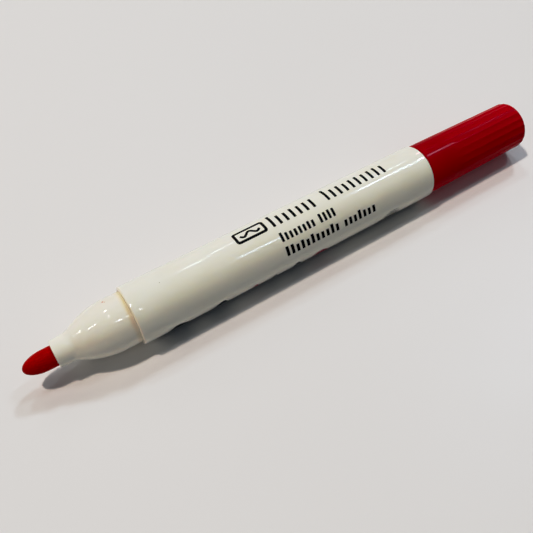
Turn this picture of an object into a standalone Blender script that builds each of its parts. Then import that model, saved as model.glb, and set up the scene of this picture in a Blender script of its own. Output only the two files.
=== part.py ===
"""Whiteboard marker lying on its side with the cap posted on its tail.

World frame: +X runs from the nib to the tail, +Z is up, and the origin lies on the surface under
the middle of the marker. Every piece is turned about the marker's own axis. Stations are distances
along that axis from the barrel's front face, positive towards the tail.
"""

import math

import bmesh
import bpy
from mathutils import Matrix

MM = 0.001
SEGMENTS = 48
FLUTE_COUNT = 22
FLUTE_CUTTER_SEGMENTS = 12
FILLET_STEPS = 4
OGIVE_STEPS = 12
BULLET_STEPS = 10
WELD_DISTANCE = 0.01 * MM
CLEARANCE = 0.3 * MM

BARREL_RADIUS = 8.0 * MM
BARREL_LENGTH = 93.0 * MM
BARREL_EDGE = 0.4 * MM
BARREL_BORE = 6.9 * MM
SOCKET_BORE = 7.3 * MM
FRONT_SOCKET_DEPTH = 11.0 * MM
REAR_SOCKET_DEPTH = 8.0 * MM

NOSE_RADIUS = 7.02 * MM
NOSE_CYLINDER_END = -4.0 * MM
OGIVE_RADIUS = 22.6 * MM
COLLAR_START = -15.6 * MM
COLLAR_ROOT = 4.0 * MM
COLLAR_END = -19.9 * MM
COLLAR_FRONT_RADIUS = 3.54 * MM
COLLAR_EDGE = 0.15 * MM
NOSE_REAR_EDGE = 0.3 * MM
NOSE_WALL = 0.95 * MM
NOSE_CAVITY_FRONT = -9.0 * MM
NIB_GUIDE_RADIUS = 3.7 * MM
NIB_GUIDE_END = 8.0 * MM

NIB_RADIUS = 2.7 * MM
NIB_TIP = -27.95 * MM
NIB_BULLET_LENGTH = 5.7 * MM
NIB_REAR = 20.0 * MM
NIB_REAR_POINT = 1.0 * MM
NIB_REAR_TAPER = 3.0 * MM

CORE_RADIUS = 6.1 * MM
SLEEVE_THICKNESS = 0.2 * MM
CORE_END_CLEARANCE = 1.0 * MM

SPIGOT_RADIUS = 6.85 * MM
SPIGOT_LENGTH = 9.0 * MM
SPIGOT_EDGE = 0.8 * MM
BEAD_HEIGHT = 0.1 * MM
BEAD_HALF_WIDTH = 0.5 * MM
BEAD_FROM_TAIL = 2.5 * MM
PLUG_WALL = 0.9 * MM
PLUG_END_WALL = 1.2 * MM
PLUG_EDGE = 0.3 * MM
PLUG_ROOT = 0.5 * MM

CAP_LENGTH = 37.3 * MM
CAP_MOUTH_RADIUS = 7.62 * MM
CAP_MOUTH_EDGE = 0.15 * MM
CAP_COLLAR_RADIUS = 7.5 * MM
CAP_END_RADIUS = 7.2 * MM
CAP_COLLAR_LENGTH = 11.3 * MM
CAP_END_EDGE = 0.8 * MM
CAP_MOUTH_BORE = 7.08 * MM
CAP_MOUTH_DEPTH = 10.0 * MM
CAP_BORE_TAPER = 1.5 * MM
CAP_BORE = 6.6 * MM
CAP_END_WALL = 1.2 * MM
FLUTE_DEPTH = 0.12 * MM
FLUTE_CUTTER_RADIUS = 1.0 * MM
FLUTE_CUTTER_OVERRUN = 2.0 * MM

LINER_MOUTH_DEPTH = 17.5 * MM
LINER_SEAL_DEPTH = 3.5 * MM
LINER_SEAL_TAPER = 0.5 * MM
LINER_SEAL_BORE = 3.95 * MM
LINER_NIB_BORE = 3.2 * MM
LINER_TUBE_RADIUS = 4.7 * MM
LINER_MOUTH_EDGE = 0.2 * MM
LINER_NIB_POCKET_END = 29.5 * MM
LINER_WEB = 1.2 * MM
LINER_FLANGE_RADIUS = CAP_BORE - CLEARANCE
LINER_FLANGE_THICKNESS = 1.2 * MM
LINER_RING_STATION = 23.5 * MM

CAP_MOUTH_STATION = BARREL_LENGTH + CLEARANCE
TAIL_STATION = CAP_MOUTH_STATION + CAP_LENGTH
MIDDLE_STATION = (NIB_TIP + TAIL_STATION) / 2
AXIS_HEIGHT = BARREL_RADIUS * math.cos(math.pi / SEGMENTS)

CREAM = (0.76, 0.73, 0.62)
RED = (0.42, 0.002, 0.006)
NIB_RED = (0.38, 0.0, 0.002)
FIBRE_RED = (0.25, 0.005, 0.01)
FILM = (0.85, 0.85, 0.85)
LINER_WHITE = (0.8, 0.8, 0.78)


def clear_scene():
    for old in list(bpy.data.objects):
        bpy.data.objects.remove(old, do_unlink=True)


def collection(name, hidden=False):
    made = bpy.data.collections.new(name)
    made.hide_render = hidden
    bpy.context.scene.collection.children.link(made)
    return made


def principled(name, colour, roughness):
    material = bpy.data.materials.new(name)
    material.use_nodes = True
    shader = material.node_tree.nodes["Principled BSDF"]
    shader.inputs["Base Color"].default_value = (*colour, 1.0)
    shader.inputs["Roughness"].default_value = roughness
    shader.inputs["Metallic"].default_value = 0.0
    return material


def axis_empty(name, station, parent=None):
    """An empty on the marker's axis whose local Z runs along the axis, towards the tail."""
    empty = bpy.data.objects.new(name, None)
    marker.objects.link(empty)
    if parent is None:
        empty.location = (station - MIDDLE_STATION, 0, AXIS_HEIGHT)
        empty.rotation_euler = (0, math.pi / 2, 0)
    else:
        empty.parent = parent
        empty.location = (0, 0, station)
    return empty


def fillet(before, corner, after, size):
    """Points of the arc that rounds a corner of a profile."""
    toward_before = (before[0] - corner[0], before[1] - corner[1])
    toward_after = (after[0] - corner[0], after[1] - corner[1])
    length_before = math.hypot(*toward_before)
    length_after = math.hypot(*toward_after)
    unit_before = (toward_before[0] / length_before, toward_before[1] / length_before)
    unit_after = (toward_after[0] / length_after, toward_after[1] / length_after)
    turn = math.acos(unit_before[0] * unit_after[0] + unit_before[1] * unit_after[1])
    reach = size / math.tan(turn / 2)
    bisector = (unit_before[0] + unit_after[0], unit_before[1] + unit_after[1])
    scale = size / math.sin(turn / 2) / math.hypot(*bisector)
    centre = (corner[0] + bisector[0] * scale, corner[1] + bisector[1] * scale)
    start = (corner[0] + unit_before[0] * reach, corner[1] + unit_before[1] * reach)
    end = (corner[0] + unit_after[0] * reach, corner[1] + unit_after[1] * reach)
    first = math.atan2(start[1] - centre[1], start[0] - centre[0])
    last = math.atan2(end[1] - centre[1], end[0] - centre[0])
    sweep = math.remainder(last - first, 2 * math.pi)
    angles = [first + sweep * step / FILLET_STEPS for step in range(FILLET_STEPS + 1)]
    return [(centre[0] + size * math.cos(a), centre[1] + size * math.sin(a)) for a in angles]


def profile(corners):
    """Turns corners, each (station, radius) or (station, radius, fillet), into profile points."""
    points = []
    for index, corner in enumerate(corners):
        if len(corner) == 2:
            points.append(corner)
            continue
        before = corners[index - 1][:2]
        after = corners[(index + 1) % len(corners)][:2]
        points += fillet(before, corner[:2], after, corner[2])
    return points


def turned(name, points, material, parent):
    """A solid of revolution. The points run down the outside, from the tail towards the nib."""
    half_step = math.pi / SEGMENTS
    mesh = bpy.data.meshes.new(name)
    body = bmesh.new()
    vertices = [
        body.verts.new((radius * math.cos(half_step), radius * math.sin(half_step), station))
        for station, radius in points
    ]
    for first, second in zip(vertices, vertices[1:]):
        body.edges.new((first, second))
    ends_on_axis = points[0][1] == 0 and points[-1][1] == 0
    if not ends_on_axis:
        body.edges.new((vertices[-1], vertices[0]))
    body.to_mesh(mesh)
    body.free()
    piece = bpy.data.objects.new(name, mesh)
    piece.parent = parent
    marker.objects.link(piece)
    screw = piece.modifiers.new("turn", "SCREW")
    screw.angle = 2 * math.pi
    screw.steps = SEGMENTS
    screw.render_steps = SEGMENTS
    screw.use_merge_vertices = True
    screw.merge_threshold = WELD_DISTANCE
    screw.use_smooth_shade = True
    piece.modifiers.new("even_shading", "WEIGHTED_NORMAL")
    mesh.materials.append(material)
    return piece


def ogive_radius(station):
    """Outside radius of the front section where it curves in from its cylinder."""
    run = NOSE_CYLINDER_END - station
    return NOSE_RADIUS - OGIVE_RADIUS + math.sqrt(OGIVE_RADIUS**2 - run**2)


def make_barrel(parent):
    front_step = FRONT_SOCKET_DEPTH
    rear_step = BARREL_LENGTH - REAR_SOCKET_DEPTH
    corners = [
        (BARREL_LENGTH, BARREL_RADIUS, BARREL_EDGE),
        (0, BARREL_RADIUS, BARREL_EDGE),
        (0, SOCKET_BORE),
        (front_step, SOCKET_BORE),
        (front_step, BARREL_BORE),
        (rear_step, BARREL_BORE),
        (rear_step, SOCKET_BORE),
        (BARREL_LENGTH, SOCKET_BORE),
    ]
    return turned("barrel", profile(corners), principled("barrel_cream", CREAM, 0.25), parent)


def make_front_section(parent):
    rear = FRONT_SOCKET_DEPTH - CLEARANCE
    nib_bore = NIB_RADIUS + CLEARANCE
    inner_radius = NOSE_RADIUS - NOSE_WALL
    run = COLLAR_START - NOSE_CYLINDER_END
    stations = [NOSE_CYLINDER_END + run * step / OGIVE_STEPS for step in range(OGIVE_STEPS)]
    ogive = [(station, ogive_radius(station)) for station in stations]
    cavity_front_radius = ogive_radius(NOSE_CAVITY_FRONT) - NOSE_WALL
    corners = [
        (rear, NOSE_RADIUS, NOSE_REAR_EDGE),
        *ogive,
        (COLLAR_START, ogive_radius(COLLAR_START), COLLAR_ROOT),
        (COLLAR_END, COLLAR_FRONT_RADIUS, COLLAR_EDGE),
        (COLLAR_END, nib_bore),
        (NIB_GUIDE_END, nib_bore),
        (NIB_GUIDE_END, NIB_GUIDE_RADIUS),
        (NOSE_CAVITY_FRONT, NIB_GUIDE_RADIUS),
        (NOSE_CAVITY_FRONT, cavity_front_radius),
        (NOSE_CYLINDER_END, inner_radius),
        (rear, inner_radius),
    ]
    return turned("front_section", profile(corners), principled("front_cream", CREAM, 0.25), parent)


def make_nib(parent):
    bullet_start = NIB_TIP + NIB_BULLET_LENGTH
    quarter = [math.pi / 2 * step / BULLET_STEPS for step in range(BULLET_STEPS)]
    bullet = [
        (bullet_start - NIB_BULLET_LENGTH * math.sin(a), NIB_RADIUS * math.cos(a)) for a in quarter
    ]
    points = [
        (NIB_REAR, 0),
        (NIB_REAR, NIB_REAR_POINT),
        (NIB_REAR - NIB_REAR_TAPER, NIB_RADIUS),
        *bullet,
        (NIB_TIP, 0),
    ]
    return turned("nib", points, principled("nib_fibre", NIB_RED, 0.75), parent)


def make_ink_reservoir(parent):
    front = FRONT_SOCKET_DEPTH + CORE_END_CLEARANCE
    rear = BARREL_LENGTH - REAR_SOCKET_DEPTH - CLEARANCE
    socket_radius = NIB_RADIUS + CLEARANCE
    socket_end = NIB_REAR + CLEARANCE
    points = [
        (rear, 0),
        (rear, CORE_RADIUS),
        (front, CORE_RADIUS),
        (front, socket_radius),
        (socket_end, socket_radius),
        (socket_end, 0),
    ]
    return turned("ink_reservoir", points, principled("reservoir_fibre", FIBRE_RED, 0.9), parent)


def make_reservoir_sleeve(parent):
    front = FRONT_SOCKET_DEPTH + CORE_END_CLEARANCE / 2
    rear = BARREL_LENGTH - REAR_SOCKET_DEPTH - CLEARANCE / 2
    inner = CORE_RADIUS + CLEARANCE
    outer = inner + SLEEVE_THICKNESS
    points = [(rear, outer), (front, outer), (front, inner), (rear, inner)]
    return turned("reservoir_sleeve", points, principled("clear_film", FILM, 0.15), parent)


def make_end_plug(parent):
    front = BARREL_LENGTH - REAR_SOCKET_DEPTH + CLEARANCE
    rear = BARREL_LENGTH + SPIGOT_LENGTH
    plug_radius = SOCKET_BORE - CLEARANCE
    inner_radius = SPIGOT_RADIUS - PLUG_WALL
    bead = rear - BEAD_FROM_TAIL
    corners = [
        (rear, 0),
        (rear, SPIGOT_RADIUS, SPIGOT_EDGE),
        (bead + BEAD_HALF_WIDTH, SPIGOT_RADIUS),
        (bead, SPIGOT_RADIUS + BEAD_HEIGHT),
        (bead - BEAD_HALF_WIDTH, SPIGOT_RADIUS),
        (BARREL_LENGTH, SPIGOT_RADIUS),
        (BARREL_LENGTH, plug_radius),
        (front, plug_radius, PLUG_EDGE),
        (front, inner_radius),
        (rear - PLUG_END_WALL, inner_radius, PLUG_ROOT),
        (rear - PLUG_END_WALL, 0),
    ]
    return turned("end_plug", profile(corners), principled("plug_cream", CREAM, 0.25), parent)


def fluted_radius(depth):
    """Outside radius of the cap's fluted stretch at a distance from its mouth."""
    fraction = (depth - CAP_COLLAR_LENGTH) / (CAP_LENGTH - CAP_COLLAR_LENGTH)
    return CAP_COLLAR_RADIUS + (CAP_END_RADIUS - CAP_COLLAR_RADIUS) * fraction


def make_flute_cutter(parent, cutters):
    """One round-nosed bar laid along the cap's taper, repeated round the cap.

    The first bar is turned by half a flute, so that a land and not a flute faces straight down.
    """
    length = CAP_LENGTH - CAP_COLLAR_LENGTH + FLUTE_CUTTER_OVERRUN
    middle = CAP_COLLAR_LENGTH + length / 2
    offset = fluted_radius(middle) - FLUTE_DEPTH + FLUTE_CUTTER_RADIUS
    taper = math.atan((CAP_COLLAR_RADIUS - CAP_END_RADIUS) / (CAP_LENGTH - CAP_COLLAR_LENGTH))
    mesh = bpy.data.meshes.new("flute_cutter")
    body = bmesh.new()
    bmesh.ops.create_cone(
        body,
        cap_ends=True,
        segments=FLUTE_CUTTER_SEGMENTS,
        radius1=FLUTE_CUTTER_RADIUS,
        radius2=FLUTE_CUTTER_RADIUS,
        depth=length,
    )
    bmesh.ops.rotate(body, verts=body.verts, matrix=Matrix.Rotation(-taper, 3, "Y"))
    bmesh.ops.translate(body, verts=body.verts, vec=(offset, 0, middle))
    half_flute = Matrix.Rotation(math.pi / FLUTE_COUNT, 3, "Z")
    bmesh.ops.rotate(body, verts=body.verts, matrix=half_flute)
    body.to_mesh(mesh)
    body.free()
    cutter = bpy.data.objects.new("flute_cutter", mesh)
    pitch = bpy.data.objects.new("flute_pitch", None)
    pitch.rotation_euler = (0, 0, 2 * math.pi / FLUTE_COUNT)
    for guide in (cutter, pitch):
        guide.parent = parent
        guide.hide_render = True
        cutters.objects.link(guide)
    cutter.display_type = "WIRE"
    array = cutter.modifiers.new("round_the_cap", "ARRAY")
    array.count = FLUTE_COUNT
    array.use_relative_offset = False
    array.use_object_offset = True
    array.offset_object = pitch
    return cutter


def make_cap(parent, cutters):
    inner_end = CAP_LENGTH - CAP_END_WALL
    corners = [
        (CAP_LENGTH, 0),
        (CAP_LENGTH, CAP_END_RADIUS, CAP_END_EDGE),
        (CAP_COLLAR_LENGTH, CAP_COLLAR_RADIUS),
        (0, CAP_MOUTH_RADIUS, CAP_MOUTH_EDGE),
        (0, CAP_MOUTH_BORE),
        (CAP_MOUTH_DEPTH, CAP_MOUTH_BORE),
        (CAP_MOUTH_DEPTH + CAP_BORE_TAPER, CAP_BORE),
        (inner_end, CAP_BORE),
        (inner_end, 0),
    ]
    cap = turned("cap", profile(corners), principled("cap_red", RED, 0.2), parent)
    flutes = cap.modifiers.new("flutes", "BOOLEAN")
    flutes.operation = "DIFFERENCE"
    flutes.solver = "EXACT"
    flutes.object = make_flute_cutter(parent, cutters)
    return cap


def make_inner_cap(parent):
    rear = CAP_LENGTH - CAP_END_WALL - CLEARANCE
    mouth = LINER_MOUTH_DEPTH
    seal_end = mouth + LINER_SEAL_DEPTH
    web_end = LINER_NIB_POCKET_END + LINER_WEB
    ring_front = LINER_RING_STATION
    ring_rear = ring_front + LINER_FLANGE_THICKNESS
    corners = [
        (rear, LINER_NIB_BORE),
        (rear, LINER_FLANGE_RADIUS),
        (rear - LINER_FLANGE_THICKNESS, LINER_FLANGE_RADIUS),
        (rear - LINER_FLANGE_THICKNESS, LINER_TUBE_RADIUS),
        (ring_rear, LINER_TUBE_RADIUS),
        (ring_rear, LINER_FLANGE_RADIUS),
        (ring_front, LINER_FLANGE_RADIUS),
        (ring_front, LINER_TUBE_RADIUS),
        (mouth, LINER_TUBE_RADIUS, LINER_MOUTH_EDGE),
        (mouth, LINER_SEAL_BORE),
        (seal_end, LINER_SEAL_BORE),
        (seal_end + LINER_SEAL_TAPER, LINER_NIB_BORE),
        (LINER_NIB_POCKET_END, LINER_NIB_BORE),
        (LINER_NIB_POCKET_END, 0),
    ]
    behind_web = [(web_end, 0), (web_end, LINER_NIB_BORE)]
    points = behind_web + profile(corners)
    return turned("inner_cap", points, principled("liner_white", LINER_WHITE, 0.4), parent)


clear_scene()
marker = collection("whiteboard_marker")
cutter_collection = collection("cutters", hidden=True)
marker_axis = axis_empty("marker_axis", 0)
cap_slide_axis = axis_empty("cap_slide_axis", CAP_MOUTH_STATION, marker_axis)
for make_piece in (
    make_barrel,
    make_front_section,
    make_nib,
    make_ink_reservoir,
    make_reservoir_sleeve,
    make_end_plug,
):
    make_piece(marker_axis)
make_cap(cap_slide_axis, cutter_collection)
make_inner_cap(cap_slide_axis)
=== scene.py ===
"""Looks of the whiteboard marker: fine meshes, printed marks, materials, light and camera.

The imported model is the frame. Its +X runs along the marker from nib to cap and +Z is up. A station is a
distance along the marker from the barrel's front face, positive towards the tail. An angle round the
marker is measured from straight up, positive towards the camera's side (-Y). Lengths are in metres and
angles in radians, except where a comment says millimetres or degrees.
"""

import math

import bmesh
import bpy
from mathutils import Matrix, Vector


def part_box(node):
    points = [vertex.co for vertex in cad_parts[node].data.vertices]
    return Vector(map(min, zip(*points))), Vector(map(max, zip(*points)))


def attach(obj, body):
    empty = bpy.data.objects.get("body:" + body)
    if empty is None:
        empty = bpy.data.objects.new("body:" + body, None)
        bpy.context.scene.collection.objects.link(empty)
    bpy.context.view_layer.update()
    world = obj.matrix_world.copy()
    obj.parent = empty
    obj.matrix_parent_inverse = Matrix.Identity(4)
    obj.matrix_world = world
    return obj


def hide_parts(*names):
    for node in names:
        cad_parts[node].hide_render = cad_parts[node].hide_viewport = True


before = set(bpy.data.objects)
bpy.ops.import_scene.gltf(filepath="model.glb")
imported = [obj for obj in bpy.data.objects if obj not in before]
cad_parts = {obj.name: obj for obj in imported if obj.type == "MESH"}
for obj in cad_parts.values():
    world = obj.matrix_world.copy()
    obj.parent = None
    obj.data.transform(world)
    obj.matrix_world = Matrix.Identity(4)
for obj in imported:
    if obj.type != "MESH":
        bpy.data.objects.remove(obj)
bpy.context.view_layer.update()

MM = 0.001


# ---------------------------------------------------------------- places taken from the frame

barrel_low, barrel_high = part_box("barrel")
front_low, front_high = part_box("front_section")
nib_low, nib_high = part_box("nib")
plug_low, plug_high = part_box("end_plug")
cap_low, cap_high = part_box("cap")
liner_low, liner_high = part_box("inner_cap")

BARREL_FRONT = barrel_low[0]
BARREL_LENGTH = barrel_high[0] - barrel_low[0]
BARREL_RADIUS = (barrel_high[2] - barrel_low[2]) / 2
AXIS_HEIGHT = (barrel_high[2] + barrel_low[2]) / 2
NOSE_RADIUS = (front_high[2] - front_low[2]) / 2
COLLAR_END = front_low[0] - BARREL_FRONT
NOSE_REAR = front_high[0] - BARREL_FRONT
NIB_TIP = nib_low[0] - BARREL_FRONT
NIB_REAR = nib_high[0] - BARREL_FRONT
NIB_RADIUS = (nib_high[2] - nib_low[2]) / 2
PLUG_FRONT = plug_low[0] - BARREL_FRONT
PLUG_REAR = plug_high[0] - BARREL_FRONT
PLUG_RADIUS = (plug_high[2] - plug_low[2]) / 2
CAP_MOUTH = cap_low[0] - BARREL_FRONT
CAP_LENGTH = cap_high[0] - cap_low[0]
CAP_MOUTH_RADIUS = (cap_high[2] - cap_low[2]) / 2
LINER_FRONT = liner_low[0] - cap_low[0]
LINER_REAR = liner_high[0] - cap_low[0]
LINER_RADIUS = (liner_high[2] - liner_low[2]) / 2


# ---------------------------------------------------------------- turned shapes

ROUND_SEGMENTS = 192
FILLET_STEPS = 6
SHARP_ANGLE = 40
ON_AXIS = 1e-9


def fillet(before, corner, after, size, steps):
    """Points of the arc that rounds a corner of a profile."""
    to_before = Vector(before) - Vector(corner)
    to_after = Vector(after) - Vector(corner)
    half = to_before.angle(to_after) / 2
    bisector = (to_before.normalized() + to_after.normalized()).normalized()
    centre = Vector(corner) + bisector * size / math.sin(half)
    start = Vector(corner) + to_before.normalized() * size / math.tan(half) - centre
    end = Vector(corner) + to_after.normalized() * size / math.tan(half) - centre
    sweep = math.remainder(math.atan2(end.y, end.x) - math.atan2(start.y, start.x), 2 * math.pi)
    first = math.atan2(start.y, start.x)
    angles = [first + sweep * step / steps for step in range(steps + 1)]
    return [(centre.x + size * math.cos(a), centre.y + size * math.sin(a)) for a in angles]


def rounded(corners, steps=FILLET_STEPS):
    """Turns corners, each (station, radius) or (station, radius, fillet), into profile points."""
    points = []
    for index, corner in enumerate(corners):
        if len(corner) == 2:
            points.append(corner)
            continue
        before = corners[index - 1][:2]
        after = corners[(index + 1) % len(corners)][:2]
        points += fillet(before, corner[:2], after, corner[2], steps)
    return points


def with_rows(points, spacing):
    """Adds points along the long straight runs of a profile, so that its quads stay compact."""
    filled = [points[0]]
    for start, end in zip(points, points[1:]):
        length = math.hypot(end[0] - start[0], end[1] - start[1])
        pieces = max(1, round(length / spacing))
        for piece in range(1, pieces + 1):
            share = piece / pieces
            station = start[0] + (end[0] - start[0]) * share
            radius = start[1] + (end[1] - start[1]) * share
            filled.append((station, radius))
    return filled


def on_marker(station, radius, angle):
    """The point at a station, a distance from the axis and an angle round the marker."""
    y = -radius * math.sin(angle)
    z = AXIS_HEIGHT + radius * math.cos(angle)
    return Vector((BARREL_FRONT + station, y, z))


def turned(name, points, material, segments=ROUND_SEGMENTS, shape=None):
    """A body turned about the marker's axis. The profile runs from the tail towards the nib outside.

    shape(station, radius, angle), where it is given, returns the real radius at that angle.
    """
    body = bmesh.new()
    rings = []
    for station, radius in points:
        if radius < ON_AXIS:
            rings.append([body.verts.new(on_marker(station, 0, 0))])
            continue
        ring = []
        for step in range(segments):
            angle = 2 * math.pi * step / segments
            real = shape(station, radius, angle) if shape else radius
            ring.append(body.verts.new(on_marker(station, real, angle)))
        rings.append(ring)
    closed = len(rings[0]) > 1
    pairs = list(zip(rings, rings[1:]))
    if closed:
        pairs.append((rings[-1], rings[0]))
    for ring, following in pairs:
        for step in range(segments):
            after = (step + 1) % segments
            if len(ring) == 1:
                body.faces.new((ring[0], following[step], following[after]))
            elif len(following) == 1:
                body.faces.new((ring[step], following[0], ring[after]))
            else:
                body.faces.new((ring[step], following[step], following[after], ring[after]))
    bmesh.ops.recalc_face_normals(body, faces=body.faces)
    return finished(name, body, material)


def finished(name, body, material, sharp_angle=SHARP_ANGLE):
    """A piece in the scene. Edges that turn by more than sharp_angle, in degrees, are shaded sharp."""
    mesh = bpy.data.meshes.new(name)
    body.to_mesh(mesh)
    body.free()
    mesh.shade_smooth()
    mesh.set_sharp_from_angle(angle=math.radians(sharp_angle))
    mesh.materials.append(material)
    piece = bpy.data.objects.new(name, mesh)
    bpy.context.scene.collection.objects.link(piece)
    return piece


# ---------------------------------------------------------------- node helpers

NOISE_LOW = 0.3
NOISE_HIGH = 0.7
SPECK_SOFTNESS = 0.25
# Full-colour share of a coloured ring's half width; the ring carries painted glow on the barrel's lip.
TINT_CORE = 0.4
SPOT_EDGE = 1.2
SPOT_CORE = 0.6


def new_material(name, **values):
    """A Principled material. Underscores in a value's name stand for spaces in the socket's name."""
    material = bpy.data.materials.new(name)
    material.use_nodes = True
    shader = material.node_tree.nodes["Principled BSDF"]
    for key, value in values.items():
        shader.inputs[key.replace("_", " ")].default_value = value
    return material


def add(material, kind, inputs=None, **settings):
    """Adds a shader node. inputs maps a socket's name or number to a value or to another socket."""
    made = material.node_tree.nodes.new("ShaderNode" + kind)
    for key, value in settings.items():
        setattr(made, key, value)
    for key, value in (inputs or {}).items():
        if isinstance(value, bpy.types.NodeSocket):
            material.node_tree.links.new(value, made.inputs[key])
        else:
            made.inputs[key].default_value = value
    return made


def feed(material, socket, source):
    """Links a node's output to the Principled shader."""
    shader = material.node_tree.nodes["Principled BSDF"]
    material.node_tree.links.new(source, shader.inputs[socket])


def place(material, scale=(1, 1, 1)):
    """The point on the piece, in metres, stretched by scale."""
    point = add(material, "TexCoord").outputs["Object"]
    return add(material, "Mapping", {"Vector": point, "Scale": scale}).outputs["Vector"]


def noise(material, vector, scale, detail=3.0, roughness=0.5):
    """Soft noise from 0 to 1. The larger the scale, the finer the noise."""
    inputs = {"Vector": vector, "Scale": scale, "Detail": detail, "Roughness": roughness}
    return add(material, "TexNoise", inputs).outputs["Fac"]


def remap(material, value, low, high, to_low, to_high):
    """Turns low to high into to_low to to_high, with the ends held."""
    inputs = {"Value": value, "From Min": low, "From Max": high, "To Min": to_low, "To Max": to_high}
    return add(material, "MapRange", inputs).outputs["Result"]


def from_noise(material, value, to_low, to_high):
    """Stretches the range that noise mostly keeps to into to_low to to_high."""
    return remap(material, value, NOISE_LOW, NOISE_HIGH, to_low, to_high)


def blend_colour(material, factor, first, second):
    """The first colour where factor is 0 and the second where it is 1."""
    made = add(material, "Mix", {"Factor": factor}, data_type="RGBA")
    for key, value in (("A_Color", first), ("B_Color", second)):
        socket = next(s for s in made.inputs if s.identifier == key)
        if isinstance(value, bpy.types.NodeSocket):
            material.node_tree.links.new(value, socket)
        else:
            socket.default_value = (*value, 1.0)
    return next(s for s in made.outputs if s.identifier == "Result_Color")


def bump(material, height, strength, distance, under=None):
    """A bumped normal, on top of the normal under it where one is given."""
    inputs = {"Height": height, "Strength": strength, "Distance": distance}
    if under is not None:
        inputs["Normal"] = under
    return add(material, "Bump", inputs).outputs["Normal"]


def specks(material, spacing, size, share, seed):
    """1 inside small round specks, one in some of the cells of a loose grid, and 0 elsewhere."""
    shifted = add(material, "Mapping", {"Vector": place(material), "Location": (seed, seed / 2, seed / 3)})
    cells = add(material, "TexVoronoi", {"Vector": shifted.outputs["Vector"], "Scale": 1 / spacing})
    edge = size / spacing
    outer = edge * (1 + SPECK_SOFTNESS)
    inner = edge * (1 - SPECK_SOFTNESS)
    inside = remap(material, cells.outputs["Distance"], outer, inner, 0, 1)
    chosen = add(material, "SeparateColor", {"Color": cells.outputs["Color"]}).outputs["Red"]
    picked = add(material, "Math", {0: chosen, 1: share}, operation="LESS_THAN").outputs["Value"]
    return add(material, "Math", {0: inside, 1: picked}, operation="MULTIPLY").outputs["Value"]


# Mask of a coloured ring; on the barrel it carries painted glow at the front lip.
def tinted_ring(material, station, half_width, strength):
    """A ring round the marker at a station, fading to 0 at half its width to either side."""
    along = add(material, "SeparateXYZ", {"Vector": place(material)}).outputs["X"]
    offset = add(material, "Math", {0: along, 1: BARREL_FRONT + station}, operation="SUBTRACT")
    gap = add(material, "Math", {0: offset.outputs["Value"]}, operation="ABSOLUTE")
    return remap(material, gap.outputs["Value"], half_width, half_width * TINT_CORE, 0, strength)


def spot(material, centre, size):
    """1 inside a ball round a point of the marker, fading to 0 just outside it."""
    gap = add(material, "VectorMath", {0: place(material), 1: centre}, operation="DISTANCE")
    return remap(material, gap.outputs["Value"], size * SPOT_EDGE, size * SPOT_CORE, 0, 1)


# ---------------------------------------------------------------- materials

BARREL_CREAM = ((0.80, 0.78, 0.68), (0.775, 0.75, 0.64))
FRONT_CREAM = ((0.82, 0.785, 0.68), (0.79, 0.745, 0.63))
# Painted glow: the barrel's thin front lip is coloured paler and pinker, standing in for light that shines
# through the edge.
LIP_PAINTED_GLOW = (0.84, 0.74, 0.60)
# Amber, slightly darker colour of the front section beside its joint with the barrel.
CREASE_AMBER = (0.80, 0.69, 0.49)
CAP_RED = (0.365, 0.0001, 0.006)
CAP_RED_DEEP = (0.32, 0.0001, 0.005)
CAP_RED_END = (0.43, 0.0001, 0.007)
NIB_RED = (0.48, 0.0006, 0.0005)
NIB_RED_DEEP = (0.26, 0.0001, 0.0004)
INK_BLACK = (0.006, 0.006, 0.007)
INK_DRY = (0.03, 0.029, 0.028)
INK_RED = (0.20, 0.001, 0.016)
INK_BLACK_THIN = (0.012, 0.012, 0.012)
INK_DRY_THIN = (0.09, 0.088, 0.082)
INK_RED_THIN = (0.30, 0.01, 0.02)
SMUDGE_RED = (0.62, 0.20, 0.18)
DUST = (0.20, 0.18, 0.15)
LINER_TONES = ((0.78, 0.77, 0.73), (0.70, 0.68, 0.63))
RESERVOIR_TONES = ((0.42, 0.02, 0.03), (0.2, 0.0, 0.01))
FILM_TONES = ((0.88, 0.88, 0.9), (0.8, 0.8, 0.82))
CAP_FADE = 0.85


def moulded_finish(material, smooth, dull):
    """Gloss that varies with handling, faint orange peel and hairline scratches along the marker."""
    handled = noise(material, place(material), scale=180, detail=4.0, roughness=0.6)
    feed(material, "Roughness", remap(material, handled, 0.35, 0.7, smooth, dull))
    peel = noise(material, place(material), scale=700, detail=1.0)
    base = bump(material, peel, strength=0.03, distance=0.02 * MM)
    hair = noise(material, place(material, (0.02, 1, 1)), scale=2600, detail=2.0, roughness=0.7)
    lines = remap(material, hair, 0.62, 0.72, 0, 1)
    feed(material, "Normal", bump(material, lines, strength=0.04, distance=0.01 * MM, under=base))


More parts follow.
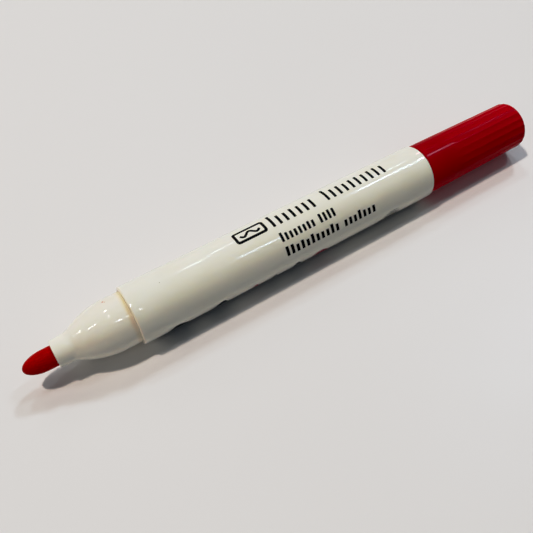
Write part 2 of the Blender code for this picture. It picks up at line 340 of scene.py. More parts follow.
def cream_plastic(name, tones, tint_ring, red_spots=()):
    """Cream plastic with a few specks of dust and ink.

    The third argument is (station, half width, strength, colour) of a coloured ring by the barrel's front
    face: painted glow on the barrel's lip, and an amber, slightly darker ring beside the joint on the
    front section. Each of red_spots is (centre, size) of a dab of ink.
    """
    material = new_material(
        name,
        IOR=1.49,
        Specular_IOR_Level=0.22,
        Subsurface_Weight=0.18,
        Subsurface_Radius=(1.0, 0.75, 0.45),
        Subsurface_Scale=1.2 * MM,
    )
    tone = noise(material, place(material), scale=70)
    colour = blend_colour(material, remap(material, tone, 0.35, 0.75, 0, 1), *tones)
    # Coloured ring by the barrel's front face: painted glow on the barrel's lip; on the front section, an
    # amber, slightly darker ring beside the joint.
    station, half_width, strength, tint = tint_ring
    colour = blend_colour(material, tinted_ring(material, station, half_width, strength), colour, tint)
    dust = specks(material, spacing=4.2 * MM, size=0.13 * MM, share=0.35, seed=3.1)
    colour = blend_colour(material, dust, colour, DUST)
    ink_dots = specks(material, spacing=6.5 * MM, size=0.10 * MM, share=0.22, seed=7.7)
    colour = blend_colour(material, ink_dots, colour, SMUDGE_RED)
    for centre, size in red_spots:
        colour = blend_colour(material, spot(material, centre, size), colour, SMUDGE_RED)
    feed(material, "Base Color", colour)
    moulded_finish(material, smooth=0.05, dull=0.09)
    return material


def red_plastic():
    """The cap's red, a little brighter towards its closed end."""
    material = new_material(
        "cap_red_plastic",
        IOR=1.49,
        Specular_IOR_Level=0.008,
        Specular_Tint=(1.0, 0.35, 0.62, 1.0),
    )
    tone = noise(material, place(material), scale=120)
    colour = blend_colour(material, from_noise(material, tone, 0, 1), CAP_RED, CAP_RED_DEEP)
    along = add(material, "SeparateXYZ", {"Vector": place(material)}).outputs["X"]
    fading = remap(material, along, cap_low[0] + CAP_COLLAR_LENGTH / 2, cap_high[0], 0, CAP_FADE)
    feed(material, "Base Color", blend_colour(material, fading, colour, CAP_RED_END))
    moulded_finish(material, smooth=0.11, dull=0.16)
    return material


def nib_fibre():
    """Fine fibres pressed along the nib, wet with ink."""
    material = new_material("nib_red_fibre", IOR=1.4, Specular_IOR_Level=0.05)
    strands = noise(material, place(material, (0.12, 1, 1)), scale=5200, detail=4.0, roughness=0.65)
    patches = noise(material, place(material), scale=800, detail=2.0)
    colour = blend_colour(material, from_noise(material, strands, 0, 0.8), NIB_RED, NIB_RED_DEEP)
    colour = blend_colour(material, remap(material, patches, 0.4, 0.8, 0, 0.35), colour, NIB_RED_DEEP)
    feed(material, "Base Color", colour)
    feed(material, "Roughness", from_noise(material, strands, 0.5, 0.72))
    coarse = bump(material, patches, strength=0.25, distance=0.08 * MM)
    feed(material, "Normal", bump(material, strands, strength=0.55, distance=0.06 * MM, under=coarse))
    return material


def printed_ink(name, ink, thin):
    """Screen-printed ink: slightly uneven cover and a duller gloss than the plastic."""
    material = new_material(name, IOR=1.5, Specular_IOR_Level=0.04)
    cover = noise(material, place(material), scale=1500)
    colour = blend_colour(material, remap(material, cover, 0.5, 0.8, 0, 0.5), ink, thin)
    feed(material, "Base Color", colour)
    feed(material, "Roughness", from_noise(material, cover, 0.22, 0.4))
    return material


def soft_liner():
    material = new_material(
        "liner_natural_plastic",
        IOR=1.5,
        Subsurface_Weight=0.2,
        Subsurface_Scale=1.0 * MM,
    )
    tone = noise(material, place(material), scale=300, detail=2.0)
    feed(material, "Base Color", blend_colour(material, tone, *LINER_TONES))
    feed(material, "Roughness", from_noise(material, tone, 0.32, 0.5))
    return material


def reservoir_fibre():
    material = new_material("reservoir_red_fibre")
    strands = noise(material, place(material, (0.05, 1, 1)), scale=3000, detail=4.0, roughness=0.7)
    colour = blend_colour(material, from_noise(material, strands, 0, 1), *RESERVOIR_TONES)
    feed(material, "Base Color", colour)
    feed(material, "Roughness", from_noise(material, strands, 0.75, 0.95))
    feed(material, "Normal", bump(material, strands, strength=0.6, distance=0.1 * MM))
    return material


def clear_film():
    material = new_material("clear_film", Alpha=0.45)
    wrinkles = noise(material, place(material, (0.3, 1, 1)), scale=700)
    feed(material, "Base Color", blend_colour(material, wrinkles, *FILM_TONES))
    feed(material, "Roughness", from_noise(material, wrinkles, 0.08, 0.2))
    feed(material, "Normal", bump(material, wrinkles, strength=0.4, distance=0.08 * MM))
    return material


# ---------------------------------------------------------------- barrel, front section and nib

FRONT_SOCKET_DEPTH = 11.0 * MM
REAR_SOCKET_DEPTH = 8.0 * MM
SOCKET_BORE = 7.3 * MM
SOCKET_LIP_GAP = 0.04 * MM
SOCKET_LIP_LENGTH = 0.6 * MM
SOCKET_LIP_EDGE = 0.05 * MM
SOCKET_EDGE = 0.1 * MM
BARREL_BORE = 6.9 * MM
BARREL_EDGE = 0.4 * MM
BARREL_ROW = 3.0 * MM
NOSE_REAR_EDGE = 0.3 * MM
NOSE_ROW = 1.5 * MM
NOSE_WALL = 0.95 * MM
NOSE_CAVITY_FRONT = -9.0 * MM
NIB_GUIDE_END = 8.0 * MM
NIB_GUIDE_RADIUS = 3.7 * MM
NOSE_CYLINDER_END = -4.0 * MM
OGIVE_RADIUS = 22.6 * MM
OGIVE_STEPS = 40
COLLAR_START = -15.6 * MM
COLLAR_ROOT = 4.0 * MM
COLLAR_ROOT_REACH = 1.1 * MM
COLLAR_ROOT_STEPS = 12
COLLAR_EDGE = 0.18 * MM
COLLAR_FRONT_RADIUS = 3.54 * MM
NIB_GAP = 0.27 * MM
NIB_BORE = NIB_RADIUS + NIB_GAP
NIB_BORE_EDGE = 0.08 * MM
NIB_SAG = 0.2 * MM
NIB_SAG_ANGLE = math.radians(120)
NIB_BULLET_LENGTH = 5.7 * MM
NIB_BULLET_STEPS = 28
NIB_REAR_TAPER = 3.0 * MM
NIB_REAR_FLAT = 1.0 * MM
NIB_SEGMENTS = 96
NIB_ROW = 1.0 * MM
PLUG_SPIGOT_RADIUS = 6.85 * MM
PLUG_WALL = 0.9 * MM
PLUG_END_WALL = 1.2 * MM
PLUG_END_EDGE = 0.8 * MM
PLUG_ROOT = 0.1 * MM
PLUG_FRONT_EDGE = 0.3 * MM
PLUG_INNER_CORNER = 0.5 * MM
PLUG_BEAD_HEIGHT = 0.1 * MM
PLUG_BEAD_HALF = 0.5 * MM
PLUG_BEAD_SETBACK = 2.5 * MM
PLUG_ROW = 2.0 * MM


def make_barrel(material):
    front_step = FRONT_SOCKET_DEPTH
    rear_step = BARREL_LENGTH - REAR_SOCKET_DEPTH
    corners = [
        (BARREL_LENGTH, BARREL_RADIUS, BARREL_EDGE),
        (0, BARREL_RADIUS, BARREL_EDGE),
        (0, NOSE_RADIUS + SOCKET_LIP_GAP, SOCKET_LIP_EDGE),
        (SOCKET_LIP_LENGTH, NOSE_RADIUS + SOCKET_LIP_GAP),
        (SOCKET_LIP_LENGTH, SOCKET_BORE),
        (front_step, SOCKET_BORE),
        (front_step, BARREL_BORE),
        (rear_step, BARREL_BORE),
        (rear_step, SOCKET_BORE),
        (BARREL_LENGTH, SOCKET_BORE, SOCKET_EDGE),
    ]
    return turned("barrel_shell", with_rows(rounded(corners), BARREL_ROW), material)


def ogive_radius(station):
    """The nose's radius where it narrows towards the nib, along one large arc."""
    run = NOSE_CYLINDER_END - station
    return NOSE_RADIUS - OGIVE_RADIUS + math.sqrt(OGIVE_RADIUS**2 - run**2)


def make_front_section(material):
    run = COLLAR_START + COLLAR_ROOT_REACH - NOSE_CYLINDER_END
    stations = [NOSE_CYLINDER_END + run * step / OGIVE_STEPS for step in range(OGIVE_STEPS + 1)]
    ogive = [(station, ogive_radius(station)) for station in stations]
    corner = (COLLAR_START, ogive_radius(COLLAR_START))
    root = fillet(ogive[-1], corner, (COLLAR_END, COLLAR_FRONT_RADIUS), COLLAR_ROOT, COLLAR_ROOT_STEPS)
    corners = [
        (NOSE_REAR, NOSE_RADIUS, NOSE_REAR_EDGE),
        *ogive,
        *root,
        (COLLAR_END, COLLAR_FRONT_RADIUS, COLLAR_EDGE),
        (COLLAR_END, NIB_BORE, NIB_BORE_EDGE),
        (NIB_GUIDE_END, NIB_BORE),
        (NIB_GUIDE_END, NIB_GUIDE_RADIUS),
        (NOSE_CAVITY_FRONT, NIB_GUIDE_RADIUS),
        (NOSE_CAVITY_FRONT, ogive_radius(NOSE_CAVITY_FRONT) - NOSE_WALL),
        (NOSE_CYLINDER_END, NOSE_RADIUS - NOSE_WALL),
        (NOSE_REAR, NOSE_RADIUS - NOSE_WALL),
    ]
    return turned("front_section_shell", with_rows(rounded(corners), NOSE_ROW), material)


def make_nib(material):
    """The nib, sunk slightly towards the lower printed side of its bore."""
    bullet_start = NIB_TIP + NIB_BULLET_LENGTH
    bullet = []
    for step in range(NIB_BULLET_STEPS):
        turn = math.pi / 2 * step / NIB_BULLET_STEPS
        bullet.append((bullet_start - NIB_BULLET_LENGTH * math.sin(turn), NIB_RADIUS * math.cos(turn)))
    rear_taper = NIB_REAR - NIB_REAR_TAPER
    points = [(NIB_REAR, 0), (NIB_REAR, NIB_REAR_FLAT), (rear_taper, NIB_RADIUS), *bullet, (NIB_TIP, 0)]
    nib = turned("nib_fibre_tip", with_rows(points, NIB_ROW), material, segments=NIB_SEGMENTS)
    nib.data.transform(Matrix.Translation(on_marker(0, NIB_SAG, NIB_SAG_ANGLE) - on_marker(0, 0, 0)))
    return nib


def make_end_plug(material):
    spigot = PLUG_SPIGOT_RADIUS
    inner = spigot - PLUG_WALL
    inner_end = PLUG_REAR - PLUG_END_WALL
    bead = PLUG_REAR - PLUG_BEAD_SETBACK
    corners = [
        (PLUG_REAR, 0),
        (PLUG_REAR, spigot, PLUG_END_EDGE),
        (bead + PLUG_BEAD_HALF, spigot),
        (bead, spigot + PLUG_BEAD_HEIGHT),
        (bead - PLUG_BEAD_HALF, spigot),
        (BARREL_LENGTH, spigot, PLUG_ROOT),
        (BARREL_LENGTH, PLUG_RADIUS),
        (PLUG_FRONT, PLUG_RADIUS, PLUG_FRONT_EDGE),
        (PLUG_FRONT, inner),
        (inner_end, inner, PLUG_INNER_CORNER),
        (inner_end, 0),
    ]
    return turned("end_plug_shell", with_rows(rounded(corners), PLUG_ROW), material)


# ---------------------------------------------------------------- cap

FLUTES = 22
FLUTE_STEPS = 12
FLUTE_FIRST_DEPTH = 0.08 * MM
FLUTE_LAST_DEPTH = 0.17 * MM
FLUTE_RUNOUT = 1.4 * MM
FLUTE_RISE = 1.25
FLUTE_HOLLOW = 2.2
CAP_COLLAR_LENGTH = 11.3 * MM
CAP_COLLAR_RADIUS = 7.5 * MM
CAP_END_RADIUS = 7.2 * MM
CAP_END_EDGE = 0.5 * MM
CAP_MOUTH_EDGE = 0.4 * MM
CAP_MOUTH_BORE = 7.08 * MM
CAP_MOUTH_BORE_DEPTH = 10.0 * MM
CAP_MOUTH_BORE_EDGE = 0.08 * MM
CAP_BORE = 6.6 * MM
CAP_BORE_DEPTH = 11.5 * MM
CAP_BORE_SKIN = 0.05 * MM
CAP_END_WALL = 1.2 * MM
CAP_INNER_CORNER = 0.5 * MM
CAP_FILLET_STEPS = 8
CAP_ROW = 0.7 * MM
LINER_TUBE = 4.7 * MM
LINER_SEAL_BORE = 3.95 * MM
LINER_SEAL_DEPTH = 3.5 * MM
LINER_SEAL_CONE = 0.5 * MM
LINER_NIB_BORE = 3.2 * MM
LINER_POCKET_END = 29.5 * MM
LINER_WALL = 1.2 * MM
LINER_RING = 23.5 * MM
LINER_MOUTH_EDGE = 0.25 * MM
LINER_RING_EDGE = 0.2 * MM
LINER_SEGMENTS = 128
LINER_ROW = 1.5 * MM


def fluted(station, radius, angle):
    """The cap's outside: a shallow flute, rounded by a power curve, between each pair of lands."""
    depth = station - CAP_MOUTH
    if depth < CAP_COLLAR_LENGTH or radius < CAP_BORE + CAP_BORE_SKIN:
        return radius
    share = (depth - CAP_COLLAR_LENGTH) / (CAP_LENGTH - CAP_COLLAR_LENGTH)
    land = CAP_COLLAR_RADIUS + (CAP_END_RADIUS - CAP_COLLAR_RADIUS) * share
    deepest = FLUTE_FIRST_DEPTH + (FLUTE_LAST_DEPTH - FLUTE_FIRST_DEPTH) * share
    runout = min(1.0, (depth - CAP_COLLAR_LENGTH) / FLUTE_RUNOUT)
    floor = land - deepest * math.sqrt(runout * (2 - runout))
    phase = math.remainder(angle * FLUTES - math.pi, 2 * math.pi) / math.pi
    return min(radius, floor + deepest * FLUTE_RISE * abs(phase) ** FLUTE_HOLLOW)


def make_cap(material):
    inner_end = CAP_LENGTH - CAP_END_WALL
    corners = [
        (CAP_LENGTH, 0),
        (CAP_LENGTH, CAP_END_RADIUS, CAP_END_EDGE),
        (CAP_COLLAR_LENGTH, CAP_COLLAR_RADIUS),
        (0, CAP_MOUTH_RADIUS, CAP_MOUTH_EDGE),
        (0, CAP_MOUTH_BORE, CAP_MOUTH_BORE_EDGE),
        (CAP_MOUTH_BORE_DEPTH, CAP_MOUTH_BORE),
        (CAP_BORE_DEPTH, CAP_BORE),
        (inner_end, CAP_BORE, CAP_INNER_CORNER),
        (inner_end, 0),
    ]
    rows = with_rows(rounded(corners, CAP_FILLET_STEPS), CAP_ROW)
    points = [(CAP_MOUTH + depth, radius) for depth, radius in rows]
    return turned("cap_shell", points, material, segments=FLUTES * FLUTE_STEPS, shape=fluted)


def make_liner(material):
    """The cap's soft liner: a tube closed inside, with two rings that hold it in the cap's bore."""
    pocket_back = LINER_POCKET_END + LINER_WALL
    rear_ring = LINER_REAR - LINER_WALL
    ring_back = LINER_RING + LINER_WALL
    seal_end = LINER_FRONT + LINER_SEAL_DEPTH
    corners = [
        (pocket_back, 0),
        (pocket_back, LINER_NIB_BORE),
        (LINER_REAR, LINER_NIB_BORE),
        (LINER_REAR, LINER_RADIUS, LINER_RING_EDGE),
        (rear_ring, LINER_RADIUS, LINER_RING_EDGE),
        (rear_ring, LINER_TUBE),
        (ring_back, LINER_TUBE),
        (ring_back, LINER_RADIUS, LINER_RING_EDGE),
        (LINER_RING, LINER_RADIUS, LINER_RING_EDGE),
        (LINER_RING, LINER_TUBE),
        (LINER_FRONT, LINER_TUBE, LINER_MOUTH_EDGE),
        (LINER_FRONT, LINER_SEAL_BORE, LINER_MOUTH_EDGE),
        (seal_end, LINER_SEAL_BORE),
        (seal_end + LINER_SEAL_CONE, LINER_NIB_BORE),
        (LINER_POCKET_END, LINER_NIB_BORE),
        (LINER_POCKET_END, 0),
    ]
    points = [(CAP_MOUTH + depth, radius) for depth, radius in with_rows(rounded(corners), LINER_ROW)]
    return turned("inner_cap_liner", points, material, segments=LINER_SEGMENTS)


# ---------------------------------------------------------------- printed marks

INK_LIFT = 0.02 * MM
INK_SINK = 0.02 * MM
BEND_STEP = math.radians(3)
INK_SHARP_ANGLE = 30
WELD = 1e-7
CUT_WELD = 1e-8
ICON_HEIGHT = 4.4 * MM
ICON_FRAME = 0.8 * MM
ICON_CORNER = 0.9 * MM
ICON_INNER_CORNER = 0.3 * MM
ICON_START = 31.5 * MM
ICON_LENGTH = 9.3 * MM
ICON_STROKE_INSET = 1.7 * MM
ROW_START = 42.4 * MM
BAR_CORNER = 0.15 * MM
CORNER_STEPS = 4
RIBBON_STEPS = 48

# Brushed ink: millimetres along the marker, and ripples as shares of a band's width.
BRUSH_STEP = 0.4
BRUSH_TAPER = 2.5
BRUSH_TAPER_POWER = 0.6
BRUSH_CREST_POWER = 0.7
BRUSH_WAVES = 0.7
BRUSH_RIPPLE = 0.12
BRUSH_UPPER_RIPPLE = 0.03
DRY_STROKES = 6
DRY_START = 76.4
DRY_START_STEP = 0.8
DRY_END = 80.0
DRY_END_STEP = 0.35

# Degrees round the marker.
ICON_ANGLE = -10
DRY_FIRST_ANGLE = 91
DRY_STROKE_PITCH = 4.6
DRY_STROKE_WIDTH = 3.0


def printed(name, outlines, material):
    """Ink film wrapped round the barrel. Outlines are closed rings of (station, arc length) points."""
    flat = bpy.data.curves.new(name, "CURVE")
    flat.dimensions = "2D"
    flat.fill_mode = "BOTH"
    flat.extrude = (INK_LIFT + INK_SINK) / 2
    for outline in outlines:
        spline = flat.splines.new("POLY")
        spline.points.add(len(outline) - 1)
        spline.use_cyclic_u = True
        for point, (station, arc) in zip(spline.points, outline):
            point.co = (station, arc, 0, 1)
    holder = bpy.data.objects.new(name + "_flat", flat)
    bpy.context.scene.collection.objects.link(holder)
    evaluated = holder.evaluated_get(bpy.context.evaluated_depsgraph_get())
    sheet = bpy.data.meshes.new_from_object(evaluated)
    body = bmesh.new()
    body.from_mesh(sheet)
    bpy.data.objects.remove(holder)
    bpy.data.meshes.remove(sheet)
    bmesh.ops.remove_doubles(body, verts=body.verts, dist=WELD)
    arcs = [vertex.co.y for vertex in body.verts]
    step = BARREL_RADIUS * BEND_STEP
    across = (0, 1, 0)
    for cut in range(math.ceil(min(arcs) / step), math.floor(max(arcs) / step) + 1):
        everything = body.verts[:] + body.edges[:] + body.faces[:]
        level = (0, cut * step, 0)
        bmesh.ops.bisect_plane(body, geom=everything, plane_co=level, plane_no=across, dist=CUT_WELD)
    middle = BARREL_RADIUS + (INK_LIFT - INK_SINK) / 2
    for vertex in body.verts:
        station, arc, height = vertex.co
        vertex.co = on_marker(station, middle + height, arc / BARREL_RADIUS)
    bmesh.ops.recalc_face_normals(body, faces=body.faces)
    return finished(name, body, material, sharp_angle=INK_SHARP_ANGLE)


def arc_at(angle):
    """Arc length along the barrel's surface from its top to an angle in degrees."""
    return BARREL_RADIUS * math.radians(angle)


def block(station, arc, length, height, corner):
    """A rectangle with rounded corners, centred at an arc length, starting at a station."""
    corner = min(corner, length / 2, height / 2)
    centres = (
        (station + length - corner, arc + height / 2 - corner, 0),
        (station + corner, arc + height / 2 - corner, 90),
        (station + corner, arc - height / 2 + corner, 180),
        (station + length - corner, arc - height / 2 + corner, 270),
    )
    points = []
    for x, y, start in centres:
        for step in range(CORNER_STEPS + 1):
            turn = math.radians(start + 90 / CORNER_STEPS * step)
            points.append((x + corner * math.cos(turn), y + corner * math.sin(turn)))
    return points


def bars_in_row(start, end, base_angle, heights, bar_share, space):
    """Plain upright bars on one base line.

    The base angle is in degrees and the heights are in millimetres. A height of 0 leaves a gap as wide as
    space bars.
    """
    places = sum(1 if height else space for height in heights)
    pitch = (end - start) / (places - 1 + bar_share)
    outlines = []
    station = start
    for height in heights:
        if height:
            middle = arc_at(base_angle) - height * MM / 2
            outlines.append(block(station, middle, pitch * bar_share, height * MM, BAR_CORNER))
        station += pitch * (1 if height else space)
    return outlines


def wave_ribbon(start, angle, length, swing, width, waves):
    """A wavy line of even width, like a pen's stroke. The angle is in degrees."""
    upper = []
    lower = []
    for step in range(RIBBON_STEPS + 1):
        share = step / RIBBON_STEPS
        phase = 2 * math.pi * waves * share
        slope = swing * math.cos(phase) * 2 * math.pi * waves / length
        across = Vector((-slope, 1)).normalized() * width / 2
        point = Vector((start + length * share, arc_at(angle) + swing * math.sin(phase)))
        upper.append(tuple(point + across))
        lower.append(tuple(point - across))
    return upper + lower[::-1]


def brush_band(start, end, upper, lower, crests):
    """A wide band of brushed ink. Crests, each (station, left, right, rise), lift its upper edge.

    Stations and widths are in millimetres, angles and rises in degrees. Both ends taper to a point.
    """
    middle = (upper + lower) / 2
    steps = math.ceil((end - start) / BRUSH_STEP)
    edge = []
    under = []
    for step in range(1, steps):
        station = start + (end - start) * step / steps
        nearest_end = min(station - start, end - station)
        taper = min(1.0, nearest_end / BRUSH_TAPER) ** BRUSH_TAPER_POWER
        lift = 0
        for peak, left, right, rise in crests:
            reach = (station - peak) / (right if station > peak else left)
            if abs(reach) < 1:
                lift = max(lift, rise * math.cos(reach * math.pi / 2) ** BRUSH_CREST_POWER)
        swing = (lower - upper) * math.sin(station * BRUSH_WAVES)
        top = upper + BRUSH_UPPER_RIPPLE * swing
        bottom = lower + BRUSH_RIPPLE * swing
        edge.append((station * MM, arc_at(middle + (top - middle) * taper - lift)))
        under.append((station * MM, arc_at(middle + (bottom - middle) * taper)))
    return [(start * MM, arc_at(middle)), *edge, (end * MM, arc_at(middle)), *under[::-1]]


def board_icon():
    """A plain board with a frame and a wavy stroke on it."""
    inner_start = ICON_START + ICON_FRAME
    inner_length = ICON_LENGTH - 2 * ICON_FRAME
    inner_height = ICON_HEIGHT - 2 * ICON_FRAME
    stroke_start = ICON_START + ICON_STROKE_INSET
    stroke_length = ICON_LENGTH - 2 * ICON_STROKE_INSET
    return [
        block(ICON_START, arc_at(ICON_ANGLE), ICON_LENGTH, ICON_HEIGHT, ICON_CORNER),
        block(inner_start, arc_at(ICON_ANGLE), inner_length, inner_height, ICON_INNER_CORNER),
        wave_ribbon(stroke_start, ICON_ANGLE, stroke_length, swing=0.62 * MM, width=0.7 * MM, waves=1.5),
    ]


def title_row():
    heights = (4.9, 3.5, 3.2, 3.6, 3.3, 3.5, 3.6, 0, 4.9, 3.4, 3.6, 3.2, 3.5, 3.6, 3.3, 3.5, 3.6, 3.2)
    return bars_in_row(ROW_START, 79.8 * MM, base_angle=4.5, heights=heights, bar_share=0.38, space=1.2)


def middle_row():
    heights = (2.6, 2.1, 1.9, 1.9, 2.0, 1.9, 2.1, 1.9, 0, 2.5, 2.4, 2.5, 2.4)
    return bars_in_row(ROW_START, 59.5 * MM, base_angle=38.4, heights=heights, bar_share=0.54, space=0.8)


def lower_row():
    heights = (2.8, 2.7, 2.1, 2.5, 2.0, 2.7, 2.1, 2.0, 2.0, 2.7, 2.1, 0, 2.0, 2.1, 2.0, 2.7, 2.1, 2.0, 2.1)
    return bars_in_row(ROW_START, 71.6 * MM, base_angle=68.7, heights=heights, bar_share=0.58, space=0.8)


# Brushed black ink on the underside. The crests are print. The long base strip under the whole barrel is
# painted shade: a dark sheet that darkens the underside and the floor's shadow beneath it.
def underside_brush_and_shade_sheet():
    crests = ((9.6, 4.2, 4.3, 31), (22.6, 4.6, 1.7, 32), (38.5, 1.9, 1.5, 27), (45.6, 1.7, 2.1, 31))
    return [brush_band(3.0, 92.6, 131, 164, crests)]


def dry_brush():
    """Thin strokes one below another, each a little longer than the one above it."""
    bands = []
    for stroke in range(DRY_STROKES):
        angle = DRY_FIRST_ANGLE + DRY_STROKE_PITCH * stroke
        start = DRY_START - DRY_START_STEP * stroke
        end = DRY_END + DRY_END_STEP * stroke
        bands.append(brush_band(start, end, angle, angle + DRY_STROKE_WIDTH, ()))
    return bands


def red_brush():
    return [
        brush_band(31.0, 34.6, 118, 127, ((32.4, 1.1, 1.2, 15),)),
        brush_band(49.6, 57.8, 115, 127, ((53.2, 2.9, 3.0, 14),)),
        brush_band(58.0, 88.0, 172, 188, ()),
        brush_band(12.0, 40.0, 176, 190, ()),
    ]


def make_print(black, dry, red):
    """All the ink on the barrel, each mark as its own piece."""
    marks = (
        ("print_board_icon", board_icon(), black),
        ("print_row_large", title_row(), black),
        ("print_row_middle", middle_row(), black),
        ("print_row_lower", lower_row(), black),
        # Partly painted shade: the long black strip under the barrel.
        ("print_underside_brush_and_shade_sheet", underside_brush_and_shade_sheet(), black),
        ("print_dry_brush", dry_brush(), dry),
        ("print_red_brush", red_brush(), red),
    )
    return [printed(name, outlines, ink) for name, outlines, ink in marks]


# ---------------------------------------------------------------- floor, lights and camera

FLOOR_TONES = ((0.742, 0.716, 0.703), (0.737, 0.711, 0.698))
FLOOR_SIZE = 3.0
ROOM_COLOUR = (0.68, 0.86, 1.0, 1.0)
ROOM_STRENGTH = 0.105
LIGHT_DISTANCE = 1.6
WARM = (1.0, 0.90, 0.82)
COOL = (0.86, 0.95, 1.0)
CREAM = (1.0, 0.97, 0.86)
SKY = (0.62, 0.83, 1.0)
LAMP = (1.0, 0.97, 0.90)
ROSE = (1.0, 0.5, 0.85)

# Name, direction from the marker, size, power in watts and colour.
FILLS = (
    ("key", (-0.30, 0.19, 0.94), (0.11, 0.11), 13.7, WARM),
    ("ceiling_right", (0.56, 0.09, 0.825), (0.30, 0.10), 2.6, COOL),
    ("ceiling_back_right", (0.52, 0.41, 0.745), (0.16, 0.16), 5.6, COOL),
    ("ceiling_back", (0.20, 0.585, 0.785), (0.12, 0.12), 2.6, COOL),
    ("soft_back", (0.0, 0.8, 0.6), (0.8, 0.5), 1.9, CREAM),
    ("soft_nose_side", (-0.9, -0.1, 0.35), (0.5, 0.5), 0.9, WARM),
)

# Name, station in millimetres, angle in degrees, size, radiance and colour.
GLINTS = (
    ("glint_barrel_top", 19, -1, (0.11, 0.09), 24, SKY),
    ("glint_barrel_top_end", 27.5, -5, (0.08, 0.09), 26, SKY),
    ("glint_barrel_front", 36, 27.7, (0.15, 0.08), 56, SKY),
    ("glint_rear_start", 68, 13.5, (0.06, 0.12), 12, SKY),
    ("glint_rear", 78, 14.2, (0.17, 0.16), 28, SKY),
    ("glint_rear_end", 89.5, 16, (0.09, 0.10), 18, SKY),
    ("glint_rear_top", 80, 3.5, (0.10, 0.11), 24, SKY),
    ("glint_rear_top_start", 73, -2, (0.09, 0.12), 8, SKY),
    ("glint_cap_mouth", 96.3, 13, (0.03, 0.10), 700, SKY),
    ("glint_cap", 100.5, 12.5, (0.07, 0.08), 190, SKY),
    ("glint_cap_top", 106, -2.5, (0.10, 0.06), 30, ROSE),
    ("glint_cap_flutes", 116, 13, (0.22, 0.06), 60, ROSE),
    ("glint_nose_back", -5.2, -0.5, (0.05, 0.13), 150, LAMP),
    ("glint_nose_top", -5.0, 15.3, (0.02, 0.15), 260, LAMP),
    ("glint_nose_front", -3.8, 30, (0.010, 0.15), 240, LAMP),
    ("glint_ogive_rear", -9.4, 15.7, (0.36, 0.16), 30, LAMP),
    ("glint_ogive_middle", -12.8, 9.3, (0.26, 0.12), 26, LAMP),
    ("glint_ogive_front", -14.4, 6.5, (0.06, 0.06), 90, LAMP),
)
BOUNCE_RADIANCE = 0.34
BOUNCE_WIDTH = 6.0 * MM
BOUNCE_SIDE = -8.0 * MM
BOUNCE_HEIGHT = 0.3 * MM
CAMERA_OFFSET_IN_RADII = Vector((-1.697, -10.674, 16.678))
CAMERA_PLACE = on_marker(0, 0, 0) + CAMERA_OFFSET_IN_RADII * BARREL_RADIUS
CAMERA_RIGHT = Vector((0.84447, -0.53560, 0.0))
CAMERA_BACK = Vector((-0.30987, -0.48876, 0.81548))
CAMERA_LENS = 41.63
CAMERA_SENSOR = 36.0
CAMERA_NEAR = 0.01
CAMERA_FAR = 20.0


def make_floor():
    material = new_material("pale_floor", IOR=1.45, Specular_IOR_Level=0.15)
    tone = noise(material, place(material), scale=4, detail=2.0)
    feed(material, "Base Color", blend_colour(material, tone, *FLOOR_TONES))
    haze = noise(material, place(material), scale=60, detail=4.0)
    feed(material, "Roughness", from_noise(material, haze, 0.38, 0.42))
    body = bmesh.new()
    bmesh.ops.create_grid(body, x_segments=1, y_segments=1, size=FLOOR_SIZE)
    floor = finished("floor", body, material)


def make_light(name, target, direction, size, power, colour, glossy):
    """A rectangular lamp, wide along the marker, that shines from a direction on a target point.

    A glossy lamp shows only as a highlight. Any other lamp only gives plain light.
    """
    light = bpy.data.lights.new(name, "AREA")
    light.shape = "RECTANGLE"
    light.size, light.size_y = size
    light.energy = power
    light.color = colour
    holder = bpy.data.objects.new(name, light)
    toward = Vector(direction).normalized()
    side = toward.cross(Vector((0, 1, 0))).normalized()
    turn = Matrix((side, toward.cross(side), toward)).transposed().to_4x4()
    holder.matrix_world = Matrix.Translation(target + toward * LIGHT_DISTANCE) @ turn
    holder.visible_diffuse = not glossy
    holder.visible_glossy = glossy
    bpy.context.scene.collection.objects.link(holder)


def outside(station):
    """The marker's outer radius at a station, and its outside's lean towards the nib in radians."""
    if station > CAP_MOUTH:
        taper = (CAP_MOUTH_RADIUS - CAP_COLLAR_RADIUS) / CAP_COLLAR_LENGTH
        return CAP_MOUTH_RADIUS - (station - CAP_MOUTH) * taper, -taper
    if station > 0:
        return BARREL_RADIUS, 0
    if station > NOSE_CYLINDER_END:
        return NOSE_RADIUS, 0
    return ogive_radius(station), math.asin((NOSE_CYLINDER_END - station) / OGIVE_RADIUS)


def make_glint(name, station, angle, size, radiance, colour):
    """A lamp placed where a smooth marker mirrors it to the camera from one point of its surface.

    The angle is in degrees. The lamp's power follows from its radiance and its size.
    """
    radius, lean = outside(station)
    turn = math.radians(angle)
    point = on_marker(station, radius, turn)
    normal = Vector((-math.sin(lean), -math.sin(turn) * math.cos(lean), math.cos(turn) * math.cos(lean)))
    to_camera = (CAMERA_PLACE - point).normalized()
    direction = 2 * normal.dot(to_camera) * normal - to_camera
    power = radiance * math.pi * size[0] * size[1]
    make_light(name, point, direction, size, power, colour, glossy=True)


def make_floor_bounce():
    """A thin strip lamp that faces up, for the light the floor sends to the marker's lower front side."""
    light = bpy.data.lights.new("floor_bounce", "AREA")
    light.shape = "RECTANGLE"
    light.size = cap_high[0] - front_low[0]
    light.size_y = BOUNCE_WIDTH
    light.energy = BOUNCE_RADIANCE * math.pi * light.size * light.size_y
    holder = bpy.data.objects.new("floor_bounce", light)
    middle = (cap_high[0] + front_low[0]) / 2
    turn = Matrix.Rotation(math.pi, 4, "X")
    holder.matrix_world = Matrix.Translation((middle, BOUNCE_SIDE, BOUNCE_HEIGHT)) @ turn
    holder.visible_camera = False
    holder.visible_glossy = False
    bpy.context.scene.collection.objects.link(holder)


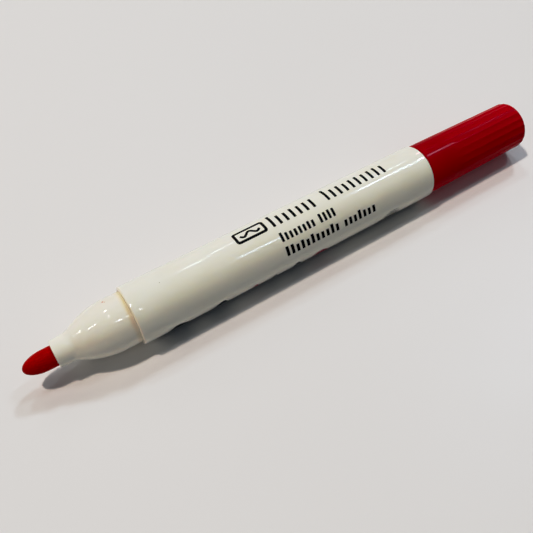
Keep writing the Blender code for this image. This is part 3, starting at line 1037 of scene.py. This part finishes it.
def make_lights():
    world = bpy.data.worlds.new("soft_room")
    world.use_nodes = True
    background = world.node_tree.nodes["Background"]
    background.inputs["Color"].default_value = ROOM_COLOUR
    background.inputs["Strength"].default_value = ROOM_STRENGTH
    bpy.context.scene.world = world
    middle = Vector((0, 0, AXIS_HEIGHT))
    for name, direction, size, power, colour in FILLS:
        make_light(name, middle, direction, size, power, colour, glossy=False)
    for name, station, angle, size, radiance, colour in GLINTS:
        make_glint(name, station * MM, angle, size, radiance, colour)
    make_floor_bounce()


def make_camera():
    """Looks down at the marker's printed side, with the nib nearest."""
    camera = bpy.data.cameras.new("camera")
    camera.sensor_width = CAMERA_SENSOR
    camera.lens = CAMERA_LENS
    camera.clip_start = CAMERA_NEAR
    camera.clip_end = CAMERA_FAR
    holder = bpy.data.objects.new("camera", camera)
    up = CAMERA_BACK.cross(CAMERA_RIGHT)
    turn = Matrix((CAMERA_RIGHT, up, CAMERA_BACK)).transposed()
    holder.matrix_world = Matrix.Translation(CAMERA_PLACE) @ turn.to_4x4()
    bpy.context.scene.collection.objects.link(holder)
    bpy.context.scene.camera = holder


# ---------------------------------------------------------------- the scene

# Points of the picture's tone curve: brightness before and after.
TONE_POINTS = ((0.10, 0.085), (0.30, 0.24), (0.45, 0.44), (0.60, 0.62), (0.75, 0.74))
BLACK_LEVEL = (0.003, 0.003, 0.003)
COMBINED_CURVE = 3


def set_tone():
    view = bpy.context.scene.view_settings
    view.view_transform = "Standard"
    view.look = "None"
    view.use_curve_mapping = True
    view.curve_mapping.black_level = BLACK_LEVEL
    tone_curve = view.curve_mapping.curves[COMBINED_CURVE]
    for before, after in TONE_POINTS:
        tone_curve.points.new(before, after)
    view.curve_mapping.update()


make_camera()
make_floor()
make_lights()
set_tone()

nose_spots = (
    (on_marker(-4.6 * MM, NOSE_RADIUS, math.radians(-28)), 0.28 * MM),
    (on_marker(-4.2 * MM, NOSE_RADIUS, math.radians(-24)), 0.16 * MM),
)
# Painted glow on the barrel's front lip.
lip_painted_glow = (0.0, 0.6 * MM, 0.8, LIP_PAINTED_GLOW)
# Amber, slightly darker ring on the front section beside its joint with the barrel.
crease_amber_ring = (-0.1 * MM, 1.3 * MM, 0.85, CREASE_AMBER)
barrel_cream = cream_plastic("barrel_cream_plastic", BARREL_CREAM, lip_painted_glow)
front_cream = cream_plastic("front_cream_plastic", FRONT_CREAM, crease_amber_ring, nose_spots)
black_ink = printed_ink("print_black", INK_BLACK, INK_BLACK_THIN)
dry_ink = printed_ink("print_dry_black", INK_DRY, INK_DRY_THIN)
red_ink = printed_ink("print_red", INK_RED, INK_RED_THIN)

pen_pieces = (
    (make_barrel(barrel_cream), "barrel", "cream_plastic"),
    (make_front_section(front_cream), "front_section", "cream_plastic"),
    (make_nib(nib_fibre()), "nib", "nib_fibre"),
    (make_end_plug(barrel_cream), "end_plug", "cream_plastic"),
)
cap_pieces = (
    (make_cap(red_plastic()), "cap", "red_plastic"),
    (make_liner(soft_liner()), "inner_cap", "liner_plastic"),
)
for body_name, pieces in (("pen", pen_pieces), ("cap", cap_pieces)):
    for piece, node, slot in pieces:
        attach(piece, body_name)
        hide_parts(node)

for mark in make_print(black_ink, dry_ink, red_ink):
    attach(mark, "pen")

for node, material in (("ink_reservoir", reservoir_fibre()), ("reservoir_sleeve", clear_film())):
    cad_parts[node].data.materials[0] = material
